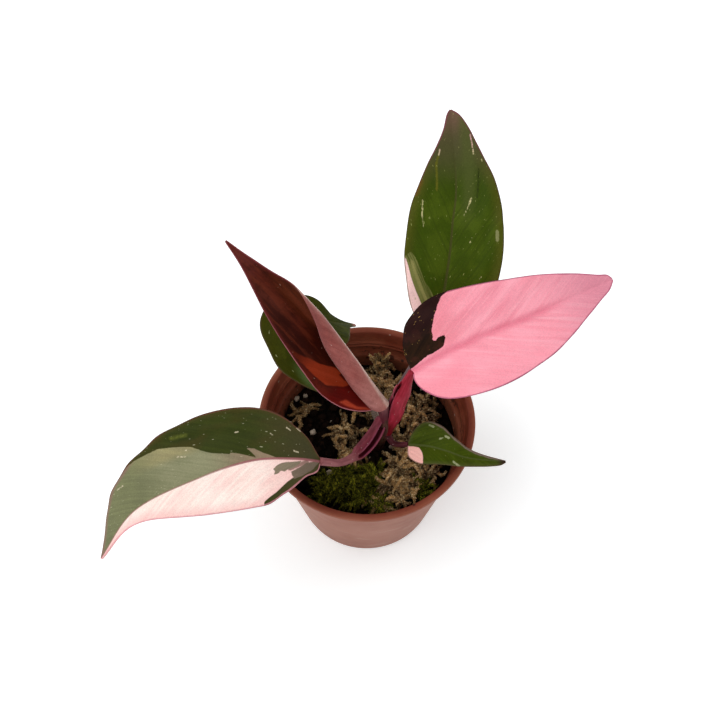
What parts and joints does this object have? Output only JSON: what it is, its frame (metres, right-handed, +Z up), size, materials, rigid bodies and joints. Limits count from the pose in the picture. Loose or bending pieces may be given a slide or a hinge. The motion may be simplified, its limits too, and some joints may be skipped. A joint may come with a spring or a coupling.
{
  "type": "pink princess philodendron in a nursery pot",
  "caption": "Young variegated aroid house plant with pointed leaves in pink, green and maroon and a new leaf still rolled, standing in moss-topped mix in a small round tapered pot.",
  "frame": {"origin": "centre of the pot's base, on the surface that it stands on", "axes": "+Z up; -Y is the plant's front, and +X is to the right seen from the front"},
  "size_m": [0.1561, 0.1122, 0.1299],
  "materials": {
    "pot": "satin, dusty outside, redder at the lip",
    "potting_mix": "loose, damp, granular peat and bark with perlite grains",
    "roots": "matt, pale",
    "stem": "satin, waxy, ringed at the nodes",
    "petiole_mauve": "satin, waxy, mauve with a pink ridge",
    "petiole_crimson": "satin, waxy, crimson",
    "blade_half_pink": "satin, waxy, half dark green and half pale pink",
    "blade_maroon": "glossy, waxy, dark maroon, pink-mauve beneath",
    "blade_green": "satin, waxy, dark green with cream flecks",
    "blade_pink": "satin, waxy, rose pink with a brown-black base lobe",
    "dry_sheath": "thin, papery, translucent grey",
    "sphagnum": "matt, dry, fibrous",
    "green_moss": "matt, damp, fibrous"
  },
  "bodies": {
    "root": {"pot": "pot", "potting_mix": "potting_mix", "roots": "roots", "stem": "stem", "petiole_half_pink": "petiole_mauve", "petiole_rolled": "petiole_mauve", "petiole_low_green": "petiole_mauve", "petiole_back_green": "petiole_mauve", "petiole_pink": "petiole_crimson", "petiole_small": "petiole_crimson", "blade_half_pink": "blade_half_pink", "blade_rolled": "blade_maroon", "blade_low_green": "blade_green", "blade_back_green": "blade_green", "blade_pink": "blade_pink", "blade_small": "blade_green", "spent_sheath": "dry_sheath", "sphagnum_back": "sphagnum", "sphagnum_left": "sphagnum", "sphagnum_right": "sphagnum", "green_moss": "green_moss"}
  },
  "joints": []
}
